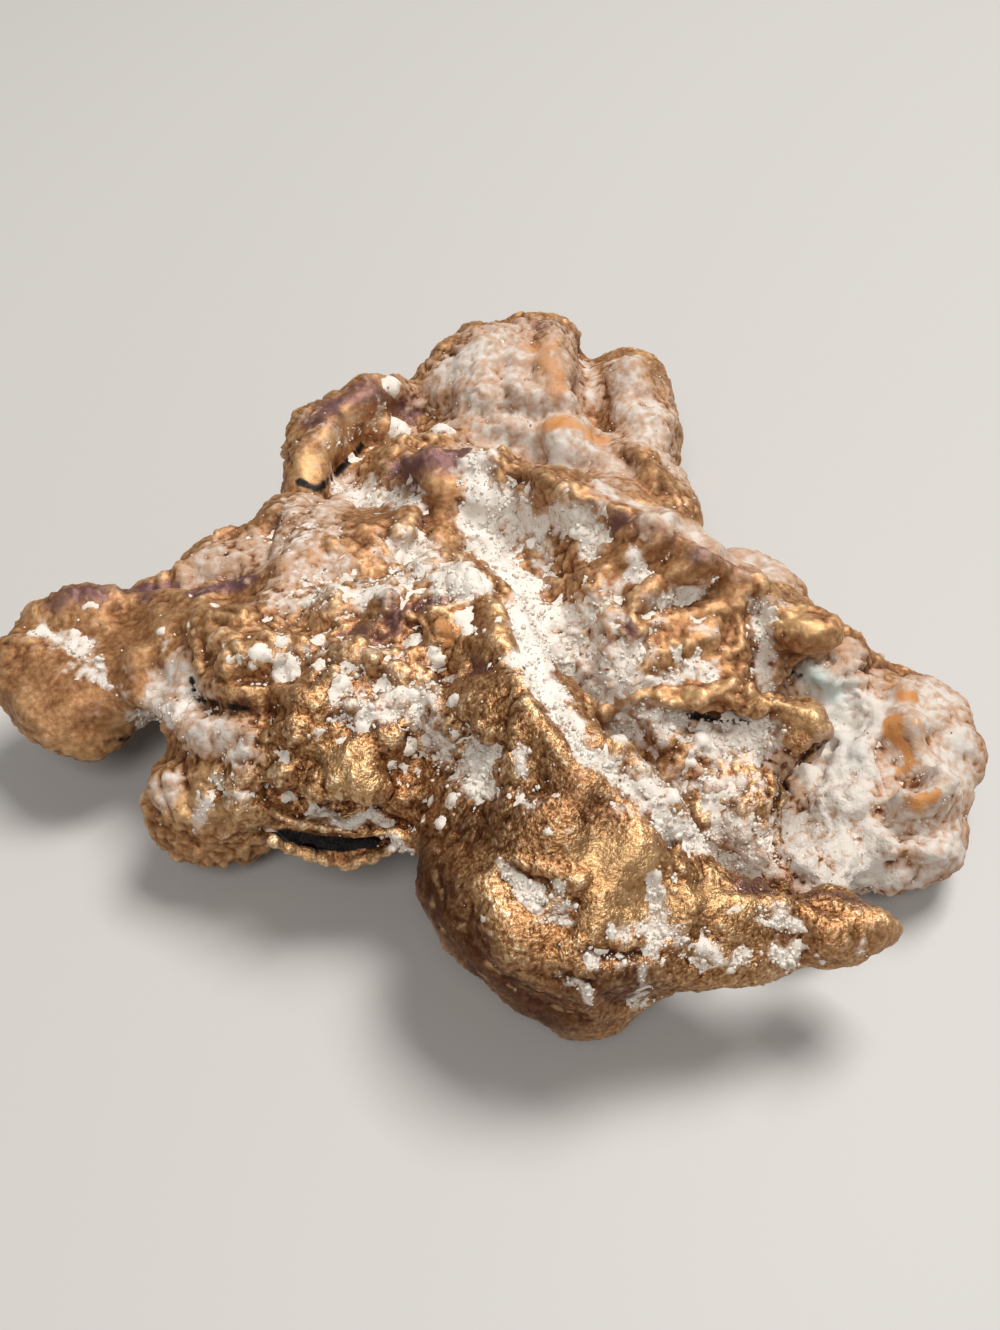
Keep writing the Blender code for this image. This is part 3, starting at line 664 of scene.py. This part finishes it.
# Gold where the copper was rubbed bright; on the bulb's crown and front it is also a painted
# highlight.
GILT_AND_HIGHLIGHT = {
    "front rib": (0.9, 0.9, [(600, 706), (652, 692), (676, 704), (730, 686), (790, 704)]),
    "upper knob": (2.2, 1.0, [(790, 620), (815, 625)]),
    "lower knob": (1.5, 0.9, [(802, 712), (820, 722)]),
    "hook band": (1.8, 1.0, [(300, 470), (320, 455), (345, 430), (375, 415)]),
    "bulb crown": (3.0, 0.9, [(600, 856), (635, 862)]),
    "bulb front": (2.4, 0.8, [(600, 915), (690, 892), (750, 900)]),
    "bulb flank lines": (0.3, 1.2, [(436, 868), (442, 905), (476, 950), (524, 996), (588, 1018)]),
    "bulb flank lines 2": (0.3, 1.1, [
        (448, 880), (458, 915), (490, 955), (532, 988), (575, 1003),
    ]),
    "bulb flank lines 3": (0.3, 1.1, [(426, 880), (432, 915), (464, 960), (508, 1002)]),
    "horn end": (1.6, 0.7, [(825, 932)]),
    "left rim": (1.8, 0.7, [(60, 742), (95, 746), (130, 722)]),
    "front bulge": (2.6, 0.85, [(330, 755), (350, 765), (368, 785)]),
    "terrace": (0.8, 0.8, [(228, 688), (250, 690)]),
    "lower left": (1.6, 0.85, [(205, 776), (172, 822), (240, 820)]),
    "slit lip": (0.6, 0.8, LIP),
    "slab top": (2.0, 0.65, [(680, 566), (720, 600), (700, 650)]),
    "saddle": (1.6, 0.6, [(440, 480), (500, 470)]),
}
ORANGE = {
    "far hook patch": (1.3, 1.1, [(898, 728), (908, 745), (916, 760)]),
    "far hook line": (0.5, 1.0, [(920, 768), (928, 785), (934, 796)]),
    "far hook finger": (0.85, 1.3, [(932, 800), (918, 806), (898, 802)]),
    "far knob": (1.4, 1.0, [(902, 694)]),
    "plateau": (0.9, 0.9, [(440, 622), (450, 636)]),
    "rib foot": (0.8, 0.8, [(690, 712), (700, 705)]),
    "hump": (3.2, 0.75, [(540, 345), (552, 366), (562, 388)]),
    "hump tier": (2.2, 0.8, [(552, 420), (578, 424), (600, 440)]),
    "hump spots": (1.4, 0.6, [(440, 345)]),
    "bump spot": (1.4, 0.6, [(624, 402)]),
    "far rim": (1.6, 0.6, [(968, 710), (970, 750)]),
    "lower left": (0.9, 0.6, [(282, 782), (300, 760)]),
}
# Violet tarnish, and a painted dark reflection on the upper and back edges that face away from the
# lamps.
PURPLE_AND_DARK_REFLECTION = {
    "boulder": (1.6, 0.9, [(478, 668)]),
    "back left ledge": (1.3, 1.1, [(150, 588), (200, 588), (250, 575)]),
    "ear edge": (1.8, 0.8, [(60, 600), (110, 590), (150, 592)]),
    "slab crest": (1.6, 0.8, [(620, 515), (665, 525), (700, 545), (740, 570)]),
    "hook": (2.0, 0.9, [(310, 420), (370, 385), (410, 415)]),
    "plateau humps": (1.0, 0.9, [(440, 598), (350, 634), (395, 640), (385, 592)]),
    "bulge tops": (0.8, 0.9, [(325, 712), (385, 726)]),
    "saddle": (2.2, 1.0, [(400, 470), (430, 455), (460, 450)]),
    "slab spots": (0.7, 0.9, [(607, 652), (632, 618), (640, 640)]),
    "dome back": (1.2, 0.6, [(425, 525), (415, 545)]),
    "horn back": (1.1, 0.8, [(740, 880), (800, 888), (860, 902)]),
    "hump top": (2.2, 0.8, [(515, 325), (560, 325)]),
}
# Dark brown tarnish, and painted shade: the bulb's left flank and chin and the undercuts are
# darkened where shade falls.
UMBER_AND_SHADE = {
    "bulb flank": (4.0, 0.95, [(425, 870), (440, 920), (490, 980), (560, 1020)]),
    "bulb dent step": (0.5, 0.9, [(502, 866), (530, 874), (556, 884), (576, 896)]),
    "horn back": (0.7, 0.7, [(690, 878), (750, 886), (800, 892), (850, 906)]),
    "bulb chin": (2.8, 0.8, [(600, 1020), (560, 1000), (600, 985), (640, 990)]),
    "bulb back": (3.6, 0.68, [(450, 830), (520, 815), (560, 790), (600, 815)]),
    "belly crease": (0.6, 0.8, [(590, 952), (640, 958), (700, 958)]),
    "hump side": (1.8, 0.7, [(600, 425), (640, 460), (665, 490)]),
    "front rib undercut": (0.9, 1.0, [(690, 716), (728, 722), (768, 724)]),
    "crack": (0.6, 1.0, [(826, 742), (800, 760), (786, 776), (778, 806), (774, 842)]),
    "terrace undercut": (0.8, 1.0, [(198, 700), (222, 706), (250, 708)]),
    "talus vein": (1.0, 0.7, [(672, 836), (700, 842), (722, 858), (748, 872)]),
    "ridge foot": (0.5, 0.7, [(512, 612), (526, 655), (545, 698), (575, 735)]),
    "hook undercut": (1.0, 0.9, [(300, 480), (322, 490)]),
    "boulder undercut": (0.7, 0.7, [(446, 705), (462, 738), (490, 750)]),
}
# Painted shade: the darkest colour, laid in the slit, the cracks and under the overhangs, where the
# lump is in deep shade.
PAINTED_SHADE_BLACK = {
    "slit": (0.8, 1.5, [(278, 835), (295, 839), (320, 844), (350, 846), (374, 842)]),
    "hook undercut": (0.7, 1.1, [(300, 482), (318, 490), (352, 458), (362, 446)]),
    "terrace undercut": (0.5, 1.1, [(192, 680), (197, 698), (222, 706), (245, 709)]),
    "front rib undercut": (0.55, 1.1, [(686, 716), (728, 721), (768, 725)]),
    "knob recess": (0.45, 1.1, [(786, 670), (800, 676)]),
    "crack": (0.40, 0.9, [(826, 742), (806, 756), (786, 776), (778, 806), (774, 842)]),
    "lobe shade": (0.6, 1.0, [(106, 742), (128, 738)]),
}
VERDIGRIS = {
    "knob recess": (1.8, 0.9, [(815, 680), (832, 690)]),
    "far right": (3.0, 0.45, [(840, 720), (850, 760)]),
    "bay": (1.4, 0.5, [(145, 722)]),
    "talus top": (1.4, 0.5, [(700, 730), (730, 735)]),
    "bulge groove": (0.8, 0.4, [(350, 817), (390, 822)]),
}


CREAM = [(482, 500), (515, 580), (525, 620), (535, 660), (550, 695)]
CREAM_REACH = 2.6
# Rounds of easing and millimetres of depth that make a full hollow.
FINE_ROUNDS, FINE_DEPTH = 5, 0.10
BROAD_ROUNDS, BROAD_DEPTH = 30, 0.35
CREASE_DEPTH = 0.07
DRIFT_SIZE, DRIFT = 2.2, 0.9
FRAY_SIZE, FRAY = 0.8, 0.35


def spread(patches, skin):
    """The strongest of all patches at each point, fading as exp(-(gap / reach)^2).

    Measured from a drifted copy of the skin, no patch has an even edge.
    """
    total = np.zeros(len(skin))
    for reach, strength, spots in patches.values():
        total = np.maximum(total, strength * near(skin, tree, spots, reach))
    return total


def write_fields(piece, fields):
    """Named numbers on the skin, one at each point, for the materials to read."""
    for name, values in fields.items():
        layer = piece.data.attributes.new(name, "FLOAT", "POINT")
        layer.data.foreach_set("value", values)


points, normals = read_skin(nugget)
tree = BVHTree.FromObject(nugget, bpy.context.evaluated_depsgraph_get())
fine_hollow = ((eased(nugget, points, FINE_ROUNDS) - points) * normals).sum(axis=1)
broad_hollow = ((eased(nugget, points, BROAD_ROUNDS) - points) * normals).sum(axis=1)
hollow = np.clip(fine_hollow / FINE_DEPTH, -1, 1) * 0.6
hollow += np.clip(broad_hollow / BROAD_DEPTH, -1, 1) * 0.4
drifted = points + DRIFT * np.stack([cloud(points, DRIFT_SIZE, 41 + k) for k in range(3)], axis=1)
drifted += FRAY * np.stack([cloud(points, FRAY_SIZE, 44 + k) for k in range(3)], axis=1)
patchy = cloud(points, 3.0, 26)
# Faces turned back, made violet as a painted dark reflection.
back_facing_for_reflection = np.clip((normals[:, 1] - 0.3) / 0.5, 0, 1)
# Faces turned down, darkened below as painted shade.
underside_for_shade = np.clip(-normals[:, 2] / 0.6, 0, 1)
cream = near(points, tree, CREAM, CREAM_REACH)
crust = spread(CRUST, drifted) * (1 + 0.35 * (1 - cream) * cloud(drifted, 2.4, 35))
for reach, spots in BARE.values():
    for spot in spots:
        crust *= 1 - 0.75 * near(drifted, tree, [spot], reach)
coat = spread(COAT, drifted)
grained = near(points, tree, GRAINED, GRAINED_REACH)
creases = (0.3 + 0.7 * grained) * np.clip(fine_hollow / CREASE_DEPTH, 0, 1)
browned_and_shaded = spread(UMBER_AND_SHADE, drifted)
fields = {
    "hollow": hollow,
    "crust": crust,
    "coat": coat + 0.2 * patchy - 0.5 * np.maximum(creases, browned_and_shaded),
    "gilt_and_highlight": spread(GILT_AND_HIGHLIGHT, drifted),
    "orange": spread(ORANGE, drifted),
    # Violet: tarnish from the patches, and a painted dark reflection on faces turned back.
    "purple_and_dark_reflection": np.maximum(spread(PURPLE_AND_DARK_REFLECTION, drifted), 0.45 * back_facing_for_reflection) + 0.25 * patchy,
    # Dark brown: patina in the fine creases, tarnish and painted shade from the patches, and
    # painted shade on faces turned down.
    "umber_and_shade": np.maximum(browned_and_shaded + 0.4 * creases, np.maximum(0.9 * creases, 0.7 * underside_for_shade)),
    "verdigris": spread(VERDIGRIS, drifted),
    # Painted shade in the deepest cracks and undercuts, kept off the peeled lip.
    "painted_shade_black": spread(PAINTED_SHADE_BLACK, points) * (1 - near(points, tree, LIP, 0.5)),
    "grained": grained,
}
write_fields(nugget, fields)


# --- Native copper, weathered: the finish -----------------------------------------------
# Native copper, tarnished in the ground and rubbed by ice, water and hands. It browns
# unevenly: dark in the hollows, brown on the flanks and gold on the high spots, with a fine
# satin grain. Part of it is painted light and shade: painted shade on the bulb's left flank,
# the undercuts and faces turned down, the darkest painted shade in the deepest cracks, a
# painted highlight on the bulb's crown and front, and a painted dark reflection on the edges
# turned back. A thin coat of clay greys it, and lime dust whitens it next to the crust.
def linear(code):
    """An sRGB hex colour as linear red, green and blue, with alpha 1."""
    parts = [int(code[k : k + 2], 16) / 255 for k in (1, 3, 5)]
    return [p / 12.92 if p <= 0.04045 else ((p + 0.055) / 1.055) ** 2.4 for p in parts] + [1.0]


def add_node(tree, kind, inputs, **settings):
    """One node with its settings; an input is a value or the socket that feeds it."""
    made = tree.nodes.new("ShaderNode" + kind)
    for name, value in settings.items():
        setattr(made, name, value)
    for name, value in inputs.items():
        if isinstance(value, bpy.types.NodeSocket):
            tree.links.new(value, made.inputs[name])
        else:
            made.inputs[name].default_value = value
    return made


def add_ramp(tree, value, stops):
    """Colours along a value: (place, sRGB hex) pairs."""
    ramp = add_node(tree, "ValToRGB", {"Fac": value})
    while len(ramp.color_ramp.elements) < len(stops):
        ramp.color_ramp.elements.new(0.5)
    for element, (place, colour) in zip(ramp.color_ramp.elements, stops):
        element.position = place
        element.color = linear(colour)
    return ramp.outputs["Color"]


def add_noises(tree, sizes):
    """Noise of each named size in millimetres, in the object's own coordinates."""
    where = add_node(tree, "TexCoord", {}).outputs["Object"]
    return {
        name: add_node(
            tree, "TexNoise", {"Vector": where, "Scale": 1 / (size * MM), "Detail": 3.0}
        ).outputs["Fac"]
        for name, size in sizes.items()
    }


def add_sum(tree, start, terms):
    """start + value x factor for each (value, factor)."""
    total = start
    for value, factor in terms:
        total = add_node(
            tree, "Math", {0: value, 1: factor, 2: total}, operation="MULTIPLY_ADD"
        ).outputs[0]
    return total


BRONZE = (
    (0.0, "#2A130A"), (0.22, "#633819"), (0.48, "#9A6B42"), (0.75, "#C2996D"), (1.0, "#E6D0AE"),
)
# Millimetres. The glint and the grain of the real skin are some hundredths of a millimetre,
# too fine to show, so they are drawn as coarse as this.
COPPER_NOISES = {"glint": 0.26, "grain": 0.42, "speck": 0.8, "cloudy": 3.2}
LAYERS = (
    # field, the noise that frays it and how much, none below, full above, colour, metal or not
    # Dark brown patina and tarnish, with painted shade on the bulb's flank, the undercuts and faces
    # turned down.
    ("umber_and_shade", "cloudy", 0.5, 0.55, 1.40, "#4C250C", 1),
    # Violet tarnish, and a painted dark reflection on edges turned back.
    ("purple_and_dark_reflection", "speck", 0.5, 0.50, 1.30, "#6A4848", 1),
    ("coat", "speck", 0.8, 0.76, 1.04, "#B08E74", 0),
    ("coat", "speck", 1.0, 1.06, 1.48, "#C9BFB3", 0),
    ("verdigris", "speck", 0.4, 0.40, 1.30, "#AFC2BE", 0),
    ("crust", "speck", 1.2, 0.90, 1.50, "#D9CFC4", 0),
    # Rubbed gold, and a painted highlight on the bulb's crown and front.
    ("gilt_and_highlight", "cloudy", 0.5, 0.60, 1.60, "#D9B17D", 1),
    ("orange", "cloudy", 0.4, 0.70, 1.05, "#BE8147", 0),
    # Painted shade: almost no colour, and metal, so that it shows no pale sheen.
    ("painted_shade_black", "cloudy", 0.4, 0.75, 1.15, "#0A0503", 1),
)
METAL, METAL_IF_GRAINED = 0.55, 0.30
# The places of a Mix node's two numbers and two colours among its inputs.
NUMBER_A, NUMBER_B, COLOUR_A, COLOUR_B = 2, 3, 6, 7
DULL = 0.46
COPPER_RELIEF = 0.16


def native_copper():
    """Weathered copper: worn places take the ramp's gold, hollows its brown; then the layers.

    It looks like a satin brown metal with gold crests. Clay, lime and rust-coloured earth
    cover the metal, so there it is neither metallic nor glossy. Some layers paint light and
    shade: the dark brown layer and the darkest one paint shade, the gold one a highlight on
    the bulb's crown and front, and the violet one a dark reflection on the edges turned back.
    """
    material = bpy.data.materials.new("native_copper_weathered")
    material.use_nodes = True
    tree = material.node_tree
    shader = tree.nodes["Principled BSDF"]
    noises = add_noises(tree, COPPER_NOISES)
    glint, grain, speck, cloudy = noises.values()
    hollow = add_node(tree, "Attribute", {}, attribute_name="hollow").outputs["Fac"]
    grained = add_node(tree, "Attribute", {}, attribute_name="grained").outputs["Fac"]
    glinting = add_sum(tree, 0.0, [(grained, 1.3)])
    worn = add_sum(tree, -0.04, [
        (hollow, -0.30), (grain, 0.60), (cloudy, 0.45), (glint, glinting), (grained, -0.60),
    ])
    colour = add_ramp(tree, worn, BRONZE)
    covered = 0.0
    for field, noise, fray, low, high, shade, is_metal in LAYERS:
        amount = add_node(tree, "Attribute", {}, attribute_name=field).outputs["Fac"]
        frayed = add_sum(tree, amount, [(noises[noise], fray)])
        share = add_node(
            tree,
            "MapRange",
            {"Value": frayed, "From Min": low, "From Max": high},
            interpolation_type="SMOOTHSTEP",
        ).outputs["Result"]
        covered = add_node(
            tree, "Mix", {"Factor": share, NUMBER_A: covered, NUMBER_B: 1.0 - is_metal}
        ).outputs[0]
        mixed = add_node(
            tree,
            "Mix",
            {"Factor": share, COLOUR_A: colour, COLOUR_B: linear(shade)},
            data_type="RGBA",
        )
        colour = mixed.outputs[2]
    tree.links.new(colour, shader.inputs["Base Color"])
    bare = add_sum(tree, 1.0, [(covered, -1.0)])
    metal = add_sum(tree, METAL, [(grained, METAL_IF_GRAINED)])
    tree.links.new(add_sum(tree, 0.0, [(bare, metal)]), shader.inputs["Metallic"])
    dull = add_sum(tree, DULL, [(covered, 0.15), (grain, 0.2), (grained, -0.15)])
    tree.links.new(dull, shader.inputs["Roughness"])
    relief = add_sum(tree, 0.0, [(grain, 0.7), (speck, 0.5), (glint, grained)])
    strength = add_sum(tree, 0.5, [(grained, 0.5)])
    bump = add_node(
        tree, "Bump", {"Height": relief, "Strength": strength, "Distance": COPPER_RELIEF * MM}
    )
    tree.links.new(bump.outputs["Normal"], shader.inputs["Normal"])
    return material


TRIANGLE_LIMIT = 196000
UNSEEN_FAVOUR = 1e-4
UNSEEN, SEEN = 1.0, 0.3


def thin_out(piece, triangles):
    """Fewer, larger triangles, the most of them where the eye can't see the skin."""
    facing = (normals * (np.array(EYE) - points)).sum(axis=1) > 0
    unseen = piece.vertex_groups.new(name="unseen")
    unseen.add(np.flatnonzero(~facing).tolist(), UNSEEN, "REPLACE")
    unseen.add(np.flatnonzero(facing).tolist(), SEEN, "REPLACE")
    thin = piece.modifiers.new("thin", "DECIMATE")
    thin.ratio = triangles / (2 * len(piece.data.polygons))
    thin.vertex_group = "unseen"
    thin.vertex_group_factor = UNSEEN_FAVOUR
    settle(piece)
    kept, _ = read_skin(piece)
    write_skin(piece, np.clip(kept, np.array(cad_low) / MM, np.array(cad_high) / MM))


def place(piece, material):
    """The piece rides the frame's one body and takes its finish."""
    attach(piece, "root")
    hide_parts("copper_nugget")
    piece.data.materials.clear()
    piece.data.materials.append(material)
    piece.data.shade_smooth()


quads = np.empty(len(nugget.data.loops), dtype=np.int64)
nugget.data.loops.foreach_get("vertex_index", quads)
quads = quads.reshape(-1, 4)
thin_out(nugget, TRIANGLE_LIMIT)
place(nugget, native_copper())


# --- The lime crust ---------------------------------------------------------------------
# White crust still fills the hollows, up to half a millimetre thick, with a ragged edge and
# a lumpy top; in the valley it is smooth and creamy. Single white beads of it sit on the
# copper as well. It is a sheet that dips below the copper wherever it is thinner than none.
CRUST_BACK = 0.25
CRUST_RISE, CRUST_LUMPS, CRUST_RIPPLE = 0.15, 0.16, 0.04
CRUST_START, CRUST_SPAN = 0.78, 0.4
CRUST_EDGE, CRUST_DEEPEST = -0.04, -0.2
BEAD_RISE, BEAD_SINK = 0.36, 0.12
LIME = ((0.0, "#6B4A33"), (0.14, "#B2967E"), (0.32, "#D1C6B8"), (0.80, "#DED6CA"))
# Millimetres. Real lime powder is far finer; it is drawn as coarse as it has to be to show.
LIME_NOISES = {"grain": 0.35, "speck": 0.9, "cloudy": 2.6}
LIME_ROUGHNESS = 0.7
LIME_RELIEF, LIME_BUMP = 0.12, 0.8


def crust_height():
    """Millimetres above the copper: the spread patches with noise, or a bead if higher."""
    ragged = 0.50 * cloud(points, 1.5, 31) + 0.30 * cloud(points, 0.8, 32)
    amount = crust + 0.55 * hollow + (1 - 0.8 * cream) * ragged
    level = np.clip((amount - CRUST_START) / CRUST_SPAN, -1, 1)
    lumpy = np.clip(level + 0.3, 0, 1) * (1 - 0.85 * cream)
    height = CRUST_RISE * level + CRUST_LUMPS * lumpy * (knobs(points, 1.1, 33) - 0.4)
    height += CRUST_RIPPLE * (1 - cream) * cloud(points, 0.5, 34)
    half_drifted = (points + drifted) / 2
    for radius, spots in BLOBS.values():
        for spot in spots:
            gap = gap_to(half_drifted, dropped(tree, [spot]), radius) / radius
            bead = BEAD_RISE * radius * np.sqrt(np.clip(1 - gap**2, 0, 1)) - BEAD_SINK
            height = np.maximum(height, bead + (gap < 1) * 0.16 * ragged)
    return height


def lime_sheet(height):
    """The skin's faces where the crust stands clear, moved out to its height, with a back."""
    kept = quads[(height[quads] > CRUST_EDGE).any(axis=1)]
    used, corners = np.unique(kept, return_inverse=True)
    low, high = np.array(cad_low) / MM, np.array(cad_high) / MM
    lifted = points[used] + normals[used] * np.maximum(height[used], CRUST_DEEPEST)[:, None]
    mesh = bpy.data.meshes.new("lime_crust")
    mesh.from_pydata((lifted * MM).tolist(), [], corners.reshape(-1, 4).tolist())
    sheet = bpy.data.objects.new("lime_crust", mesh)
    bpy.context.scene.collection.objects.link(sheet)
    write_fields(sheet, {"height": (height + 0.8 * cream)[used], "coat": coat[used]})
    back = sheet.modifiers.new("back", "SOLIDIFY")
    back.thickness = CRUST_BACK * MM
    back.offset = -1.0
    settle(sheet)
    backed, _ = read_skin(sheet)
    write_skin(sheet, np.clip(backed, low, high))
    return sheet


def chalky_lime():
    """Lime crust, laid down by water: chalk white on top, stained brown where it is thin.

    It looks dry and powdery: no gloss at all, and a fine grain in its shading.
    """
    material = bpy.data.materials.new("lime_crust_chalky")
    material.use_nodes = True
    tree = material.node_tree
    shader = tree.nodes["Principled BSDF"]
    grain, speck, cloudy = add_noises(tree, LIME_NOISES).values()
    height = add_node(tree, "Attribute", {}, attribute_name="height").outputs["Fac"]
    coated = add_node(tree, "Attribute", {}, attribute_name="coat").outputs["Fac"]
    clean = add_sum(tree, -0.92, [
        (height, 1.0), (coated, -0.12), (grain, 0.9), (speck, 1.1), (cloudy, 0.6),
    ])
    tree.links.new(add_ramp(tree, clean, LIME), shader.inputs["Base Color"])
    shader.inputs["Roughness"].default_value = LIME_ROUGHNESS
    relief = add_sum(tree, 0.0, [(grain, 0.6), (speck, 0.8)])
    bump = add_node(
        tree, "Bump", {"Height": relief, "Strength": LIME_BUMP, "Distance": LIME_RELIEF * MM}
    )
    tree.links.new(bump.outputs["Normal"], shader.inputs["Normal"])
    return material


chalk_finish = chalky_lime()
thickness = crust_height()
place(lime_sheet(thickness), chalk_finish)


# --- Lime crumbs and grit ----------------------------------------------------------------
# Round the crust lie single lime grains, some as big as coarse sand and most as fine as
# flour, bedded in the hollows of the copper. Radii are millimetres.
CRUMBS, CRUMB_SMALLEST, CRUMB_LARGEST = 2200, 0.12, 0.30
GRITS, GRIT_SMALLEST, GRIT_LARGEST = 8500, 0.05, 0.16
MOSTLY_SMALL = 2.2
BEDDED = 0.3
STRAYING = 0.08
SPECKLE_SIZE = 1.4


def grain_shape(faces_wanted):
    """A ball of few faces, points at distance 1: its points, and its triangles or squares."""
    bm = bmesh.new()
    if faces_wanted == "squares":
        bmesh.ops.create_cube(bm, size=1.0)
        bmesh.ops.subdivide_edges(bm, edges=bm.edges, cuts=1, use_grid_fill=True)
    else:
        bmesh.ops.create_icosphere(bm, subdivisions=1, radius=1.0)
    corners = np.array([vert.co for vert in bm.verts])
    faces = np.array([[vert.index for vert in face.verts] for face in bm.faces])
    bm.free()
    return corners / np.linalg.norm(corners, axis=1)[:, None], faces


def scatter_grains(name, seed, count, shape, smallest, largest, wanted):
    """Grains bedded at skin points drawn by how much lime is wanted there.

    Radius is smallest + (largest - smallest) x (an even random number)^2.2. Each corner of
    a grain is pushed in or out by up to two fifths, so that no two grains are alike.
    """
    draw = np.random.default_rng(seed)
    seats = draw.choice(len(points), size=count, replace=False, p=wanted / wanted.sum())
    radius = smallest + (largest - smallest) * draw.random(count) ** MOSTLY_SMALL
    corners, faces = grain_shape(shape)
    shapes = corners[None] * draw.uniform(0.6, 1.3, (count, len(corners), 1))
    shapes = shapes * (radius[:, None] * draw.uniform(0.7, 1.2, (count, 3)))[:, None, :]
    centres = points[seats] - normals[seats] * (BEDDED * radius)[:, None]
    centres += draw.normal(scale=STRAYING, size=(count, 3))
    centres += normals[seats] * np.maximum(thickness[seats], 0)[:, None]
    low, high = np.array(cad_low) / MM, np.array(cad_high) / MM
    verts = np.clip((centres[:, None, :] + shapes).reshape(-1, 3), low, high)
    joined = faces[None] + (np.arange(count) * len(corners))[:, None, None]
    mesh = bpy.data.meshes.new(name)
    mesh.from_pydata((verts * MM).tolist(), [], joined.reshape(-1, faces.shape[1]).tolist())
    grains = bpy.data.objects.new(name, mesh)
    bpy.context.scene.collection.objects.link(grains)
    clean = np.repeat(draw.uniform(-0.1, 0.5, count), len(corners))
    write_fields(grains, {"height": clean, "coat": np.repeat(coat[seats], len(corners))})
    return grains


speckle = cloud(points, SPECKLE_SIZE, 37)
loose = 0.25 + 0.75 * grained * (1 - cream)
wanted_crumbs = loose * np.clip(crust + 0.4 * hollow + 0.5 * speckle - 0.4, 0, 1.5) ** 1.3
wanted_grit = np.clip(np.maximum(crust, 0.3 * coat) + 0.5 * hollow + 0.4 * speckle - 0.3, 0, 1.5)
wanted_grit *= loose
crumbs = scatter_grains(
    "lime_crumbs", 41, CRUMBS, "squares", CRUMB_SMALLEST, CRUMB_LARGEST, wanted_crumbs
)
place(crumbs, chalk_finish)
grit = scatter_grains(
    "lime_grit", 42, GRITS, "triangles", GRIT_SMALLEST, GRIT_LARGEST, wanted_grit
)
place(grit, chalk_finish)


# --- The table and the light ------------------------------------------------------------
# A plain pale table top, painted and matt, lit by a broad soft lamp above and behind the
# nugget and a weaker one from above the front. Places and sizes are metres.
TABLE_SIZE = 4.0
TABLE_PAINT, TABLE_ROUGHNESS = "#B5B1AC", 0.6
KEY_PLACE, KEY_WATTS, KEY_SIZE = (0.30, 0.30, 0.90), 11.2, 0.42
FRONT_PLACE, FRONT_WATTS, FRONT_SIZE = (-0.10, -0.66, 0.90), 5.6, 0.48
STUDIO_WHITE, STUDIO_STRENGTH = "#ECE9E7", 0.20

bpy.ops.mesh.primitive_plane_add(size=TABLE_SIZE)
table_top = bpy.context.object
table_top.name = "table_top"
pale = bpy.data.materials.new("pale_table")
pale.use_nodes = True
paint = pale.node_tree.nodes["Principled BSDF"]
paint.inputs["Base Color"].default_value = linear(TABLE_PAINT)
paint.inputs["Roughness"].default_value = TABLE_ROUGHNESS
table_top.data.materials.append(pale)


def add_lamp(name, place, watts, size):
    """A square soft lamp at a place, turned to face the nugget."""
    light = bpy.data.lights.new(name, "AREA")
    light.energy = watts
    light.size = size
    lamp = bpy.data.objects.new(name, light)
    lamp.location = place
    lamp.rotation_mode = "QUATERNION"
    lamp.rotation_quaternion = (-Vector(place)).to_track_quat("-Z", "Y")
    bpy.context.scene.collection.objects.link(lamp)


add_lamp("key_lamp", KEY_PLACE, KEY_WATTS, KEY_SIZE)
add_lamp("front_lamp", FRONT_PLACE, FRONT_WATTS, FRONT_SIZE)
world = bpy.data.worlds.new("studio")
world.use_nodes = True
glow = world.node_tree.nodes["Background"]
glow.inputs["Color"].default_value = linear(STUDIO_WHITE)
glow.inputs["Strength"].default_value = STUDIO_STRENGTH
bpy.context.scene.world = world
bpy.context.scene.view_settings.view_transform = "Standard"
